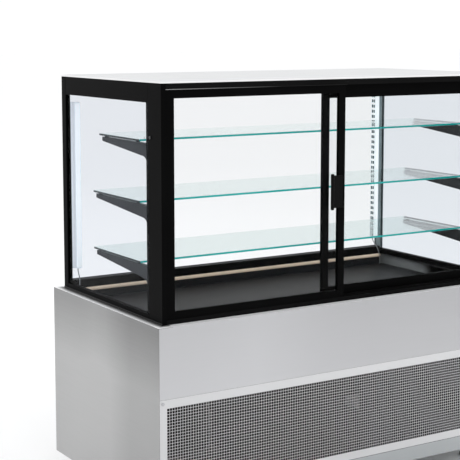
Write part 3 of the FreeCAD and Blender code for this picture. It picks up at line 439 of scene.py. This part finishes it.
def post_light_faces(face):
    """Painted light on the lit right-hand post: grey where it faces the cabin and the doors."""
    lit_side = face.calc_center_median().x > 0
    return 1 if lit_side and (inward_side(face) or face.normal.y < -0.9) else 0


def outward(face):
    """True for an upright face that looks away from the middle of the case."""
    centre = face.calc_center_median()
    return abs(face.normal.z) < 0.5 and face.normal.x * centre.x + face.normal.y * centre.y > 0


def cladding_face(face):
    """Steel outside, the ledge's painted shadow and highlight on top, and painted shade inside."""
    if outward(face):
        return 0
    return 1 if face.normal.z > 0.9 and face.calc_center_median().z > LEDGE_Z else 2


def tray_face(face):
    """Galvanised outside and below, and the same painted shade inside."""
    return 0 if outward(face) or face.normal.z < -0.9 else 1


FOOT_GREY_OUT = 0.4 * MM
FOOT_GREY_LIFT = 0.1 * MM
FOOT_GREY_H = 5 * MM


def base_pieces():
    """The steel cladding and tray, with grey strips along the foot of the bottom rails where the cabin
    stands on the base.
    """
    for side in SIDES:
        rounded(f"side_panel_{side}", 0.6 * MM, 2, [SIDE_STEEL_PAINTED_SHADE, LEDGE_PAINTED_LIGHT, CLADDING_PAINTED_SHADE], cladding_face)
    for node in ("customer_panel", "service_panel"):
        rounded(node, 0.4 * MM, 2, [MATERIALS["brushed_steel"], LEDGE_LONG_PAINTED_HIGHLIGHT, CLADDING_PAINTED_SHADE], cladding_face)
    rounded("base_tray", 0.4 * MM, 2, [MATERIALS["galvanised_steel"], CLADDING_PAINTED_SHADE], tray_face)
    low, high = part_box("bottom_rails")
    jamb_low, jamb_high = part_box("door_jambs")
    for side, start_x in (("left", jamb_low.x - FOOT_GREY_OUT), ("right", jamb_high.x)):
        strip = ((start_x, jamb_low.y, low.z + FOOT_GREY_LIFT), (start_x + FOOT_GREY_OUT, high.y, low.z + FOOT_GREY_H))
        box_piece(f"rail_foot_grey_{side}", [strip], "bottom_rails", RAIL_FOOT_GREY)


LIP_H = 8 * MM
LIP_OUT = 0.15 * MM
LIP_IN = 0.3 * MM
LIP_BELOW = 0.3 * MM
LIP_ABOVE = 1.2 * MM


def header_highlight_strip():
    """A painted highlight along the lip of the header, fading from the left corner to the middle."""
    low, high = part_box("track_fins")
    lip = high.z - LIP_H
    line = ((low.x, low.y - LIP_OUT, lip - LIP_BELOW), (0.0, low.y + LIP_IN, lip + LIP_ABOVE))
    box_piece("header_lip_painted_highlight", [line], "track_fins", LIP_PAINTED_HIGHLIGHT)


ROD_DOME = 3.6 * MM


def handle_piece(node):
    """A pull whose round rod has domed ends, on its mounting plate."""
    mesh = solid_of(node)
    low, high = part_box(node)
    ends = [edge for z in (low.z, high.z) for edge in mesh.edges
            if all(abs(vertex.co.z - z) < CLOSE for vertex in edge.verts)]
    bmesh.ops.bevel(mesh, geom=ends, offset=ROD_DOME, segments=4, profile=0.5, affect="EDGES")
    piece = finish_piece(node + "_look", mesh, node, [MATERIALS[SLOT_OF[node]]])
    round_edges(piece, 0.6 * MM)
    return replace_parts(piece, node)


def door_pieces():
    """Both sliding doors: mitred bars, pulls and runners. The panes come with the other glass."""
    for side in SIDES:
        for member in ("stiles", "rails"):
            rounded(f"{side}_door_{member}", 0.7 * MM)
        handle_piece(f"{side}_door_handle")
        rounded(f"{side}_door_runners", 0.8 * MM)


def slab(node, face_material, front_edge, end_edge, radius):
    """A glass plate with one material on its faces and others on its long and short edges."""
    mesh = solid_of(node)
    low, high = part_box(node)
    thin = min(range(3), key=lambda axis: high[axis] - low[axis])
    for face in mesh.faces:
        # A shelf's far edge is as clear as its faces.
        far_edge = thin == 2 and face.normal.y > 0.9
        if abs(face.normal[thin]) > 0.9 or far_edge:
            face.material_index = 0
        elif abs(face.normal.x) > 0.9:
            face.material_index = 2
        else:
            face.material_index = 1
    edges = [edge for edge in mesh.edges
             if len(edge.link_faces) == 2 and edge.calc_face_angle(0.0) > math.radians(40)]
    bmesh.ops.bevel(mesh, geom=edges, offset=radius, segments=1, affect="EDGES", material=-1)
    piece = finish_piece(node + "_look", mesh, node, [face_material, front_edge, end_edge])
    piece.data.shade_flat()
    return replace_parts(piece, node)


def glass_pieces():
    """The three shelves, the two door panes and the three fixed panes."""
    for node in ("top_shelf", "middle_shelf", "bottom_shelf"):
        slab(node, MATERIALS["shelf_glass"], EDGE_PAINTED_GLOW, EDGE_PAINTED_SHADE, 0.6 * MM)
    for node in ("customer_glass", "left_door_glass"):
        slab(node, MATERIALS["clear_glass"], EDGE_HELD, EDGE_HELD, 0.2 * MM)
    slab("right_door_glass", RIGHT_PANE_PAINTED_SHADE, EDGE_HELD, EDGE_HELD, 0.2 * MM)
    for node in ("side_glass_left", "side_glass_right"):
        slab(node, SIDE_PANE_PAINTED_SHADE, EDGE_HELD, EDGE_HELD, 0.2 * MM)


GRILLE_PITCH = 8 * MM
GRILLE_HOLE = 6.8 * MM
GRILLE_MARGIN = 19 * MM
GRILLE_LAP = 0.8 * MM


def grille_piece():
    """The perforated sheet: fine square holes inside a plain rim, with painted shade in the holes and
    behind.
    """
    low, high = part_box("grille_panel")
    top = high.z + GRILLE_LAP
    across = int((high.x - low.x - 2 * GRILLE_MARGIN) // GRILLE_PITCH)
    up = int((high.z - low.z - 2 * GRILLE_MARGIN) // GRILLE_PITCH)
    start_x = (low.x + high.x - across * GRILLE_PITCH) / 2
    start_z = (low.z + high.z - up * GRILLE_PITCH) / 2
    rim = (GRILLE_PITCH - GRILLE_HOLE) / 2

    def lines(first, last, start, count):
        """The cuts along one axis: the sheet's edge, both sides of each hole, the other edge."""
        cuts = [first]
        for i in range(count):
            cuts += [start + i * GRILLE_PITCH + rim, start + (i + 1) * GRILLE_PITCH - rim]
        return cuts + [last]

    columns = lines(low.x, high.x, start_x, across)
    rows = lines(low.z, top, start_z, up)
    mesh = bmesh.new()
    grid = [[mesh.verts.new((x, low.y, z)) for z in rows] for x in columns]
    for i in range(len(columns) - 1):
        for j in range(len(rows) - 1):
            if i % 2 == 1 and j % 2 == 1:
                continue
            mesh.faces.new((grid[i][j], grid[i + 1][j], grid[i + 1][j + 1], grid[i][j + 1]))
    piece = finish_piece("grille_look", mesh, "grille_panel", [MATERIALS["grille_steel"], INSIDE_PAINTED_SHADE])
    piece.data.shade_flat()
    thickness = piece.modifiers.new("sheet", "SOLIDIFY")
    thickness.thickness = high.y - low.y
    thickness.offset = -1.0
    thickness.material_offset = 1
    thickness.material_offset_rim = 1
    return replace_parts(piece, "grille_panel")


STRIP_RIB = 6 * MM
RIB_DIP = 0.35 * MM


def outlet_strip_piece():
    """The air outlet strip: a half-round moulding with fine ribs along its length."""
    low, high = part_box("air_outlet_strip")
    radius = (high.z - low.z) / 2
    centre_z = (low.z + high.z) / 2
    nose_y = low.y + radius
    profile = [(high.y, low.z), (high.y, high.z), (nose_y, high.z)]
    turns = 8
    for i in range(1, turns):
        angle = math.pi / 2 + math.pi * i / turns
        profile.append((nose_y + radius * math.cos(angle), centre_z + radius * math.sin(angle)))
    profile.append((nose_y, low.z))
    ribs = int((high.x - low.x) // STRIP_RIB)
    mesh = bmesh.new()
    rings = []
    for i in range(2 * ribs + 1):
        x = low.x + (high.x - low.x) * i / (2 * ribs)
        dip = RIB_DIP if i % 2 else 0.0
        rings.append([mesh.verts.new((x, y + (dip if y < high.y else 0.0), z)) for y, z in profile])
    for ring, after in zip(rings, rings[1:]):
        for i in range(len(profile)):
            j = (i + 1) % len(profile)
            mesh.faces.new((ring[i], after[i], after[j], ring[j]))
    mesh.faces.new(rings[0])
    mesh.faces.new(list(reversed(rings[-1])))
    bmesh.ops.recalc_face_normals(mesh, faces=mesh.faces)
    piece = finish_piece("outlet_strip_look", mesh, "air_outlet_strip", [MATERIALS["cream_plastic"]])
    piece.data.set_sharp_from_angle(angle=math.radians(50))
    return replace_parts(piece, "air_outlet_strip")


CHIP_PITCH = 17 * MM
CHIP_WIDE = 6.4 * MM
CHIP_TALL = 10.5 * MM
CHIP_OUT = 0.5 * MM
# Where the two columns of chips stand, as shares of the board's depth.
CHIP_COLUMNS = (0.24, 0.76)


def light_pieces():
    """Corner lights: lit boards and lenses, with two columns of chips on each board's inner face."""
    rounded("light_boards", 0.3 * MM)
    corners = [vertex.co for vertex in frame["nodes"]["light_boards"].data.vertices]
    face_x = min(abs(corner.x) for corner in corners)
    depths = [corner.y for corner in corners if abs(corner.x) < face_x + CLOSE]
    low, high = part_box("light_boards")
    count = int((high.z - low.z) // CHIP_PITCH)
    step = (high.z - low.z) / count
    chips = []
    for x in (-face_x, face_x):
        for share in CHIP_COLUMNS:
            y = min(depths) + (max(depths) - min(depths)) * share
            for i in range(count):
                z = low.z + (i + 0.5) * step
                chips.append(((x - CHIP_OUT, y - CHIP_WIDE / 2, z - CHIP_TALL / 2),
                              (x + CHIP_OUT, y + CHIP_WIDE / 2, z + CHIP_TALL / 2)))
    round_edges(box_piece("light_chips", chips, "light_boards", CHIP), 0.25 * MM, 1)


RECESS_LONG = 2.6 * MM
RECESS_THIN = 0.5 * MM
RECESS_DEEP = 0.2 * MM
JAMB_SCREW_BAND = 12 * MM


def screw_piece():
    """Button-head screws, with a cross in the head of each jamb's screw; the jamb screws are a darker
    copy of the steel and each cross a thin dark box, both painted shade.
    """
    rounded("panel_screws", 0.9 * MM, 3, [MATERIALS["screw_steel"], JAMB_SCREW_PAINTED_SHADE],
            lambda face: 1 if face.calc_center_median().z > LEDGE_Z else 0)
    low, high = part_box("panel_screws")
    points = [vertex.co for vertex in frame["nodes"]["panel_screws"].data.vertices
              if vertex.co.z > high.z - JAMB_SCREW_BAND]
    centre_y, centre_z = ((min(p[axis] for p in points) + max(p[axis] for p in points)) / 2
                          for axis in (1, 2))
    bars = []
    for start_x in (low.x, high.x - RECESS_DEEP):
        for half_y, half_z in ((RECESS_LONG, RECESS_THIN), (RECESS_THIN, RECESS_LONG)):
            bars.append(((start_x, centre_y - half_y, centre_z - half_z),
                         (start_x + RECESS_DEEP, centre_y + half_y, centre_z + half_z)))
    box_piece("screw_recesses", bars, "panel_screws", RECESS_PAINTED_SHADE)


def carried_nodes():
    """Every CAD node that still shows gets its procedural material."""
    for node, item in frame["nodes"].items():
        if item.hide_render:
            continue
        item.data.materials.clear()
        item.data.materials.append(MATERIALS[SLOT_OF[node]])


# ------------------------------------------------------- studio and camera

FLOOR_HALF = 60.0


def studio():
    """A pale floor that runs to a white horizon, with large soft lights."""
    data = bpy.data.meshes.new("floor")
    corners = [(x * FLOOR_HALF, y * FLOOR_HALF, 0) for x, y in ((-1, -1), (1, -1), (1, 1), (-1, 1))]
    data.from_pydata(corners, [], [(0, 1, 2, 3)])
    floor = bpy.data.objects.new("floor", data)
    bpy.context.scene.collection.objects.link(floor)
    graph = Graph("floor_white")
    cloud = graph.noise((0.7, 0.7, 0.7), 2.0)
    graph.link(graph.tint(cloud, (0.955, 0.955, 0.955), (0.965, 0.965, 0.965)),
               graph.shader.inputs["Base Color"])
    graph.shader.inputs["Roughness"].default_value = 0.9
    data.materials.append(graph.material)
    world = bpy.data.worlds.new("studio")
    world.use_nodes = True
    world.node_tree.nodes["Background"].inputs["Color"].default_value = (0.99, 0.995, 1.0, 1)
    world.node_tree.nodes["Background"].inputs["Strength"].default_value = 1.055
    bpy.context.scene.world = world
    for name, place, target, width, power in (
            ("key_light", (3.5, -4.0, 4.5), (0, 0, 0.8), 3.0, 24.0),
            ("top_light", (0.0, 0.5, 5.5), (0, 0, 0.5), 5.0, 30.0),
            ("back_light", (-1.0, 5.5, 3.0), (0, 0, 0.9), 4.0, 14.0)):
        lamp_data = bpy.data.lights.new(name, "AREA")
        lamp_data.size = width
        lamp_data.energy = power
        lamp = bpy.data.objects.new(name, lamp_data)
        lamp.location = place
        lamp.rotation_euler = (Vector(target) - Vector(place)).to_track_quat("-Z", "Y").to_euler()
        bpy.context.scene.collection.objects.link(lamp)


CAMERA_PLACE = (-2.211, -3.207, 1.336)
CAMERA_TURN = 32.11
CAMERA_DOWN = 6.84
CAMERA_LENS = 101.82
CAMERA_SHIFT = -0.1


def camera():
    """A long lens from the service side's left, a little above the top of the case."""
    data = bpy.data.cameras.new("camera")
    data.sensor_width = 36.0
    data.lens = CAMERA_LENS
    data.shift_y = CAMERA_SHIFT
    data.clip_end = 200.0
    item = bpy.data.objects.new("camera", data)
    item.location = CAMERA_PLACE
    item.rotation_euler = (math.radians(90 - CAMERA_DOWN), 0, math.radians(-CAMERA_TURN))
    bpy.context.scene.collection.objects.link(item)
    bpy.context.scene.camera = item


frame_pieces()
base_pieces()
header_highlight_strip()
door_pieces()
glass_pieces()
grille_piece()
outlet_strip_piece()
light_pieces()
screw_piece()
carried_nodes()
studio()
camera()
bpy.context.scene.view_settings.view_transform = "Standard"
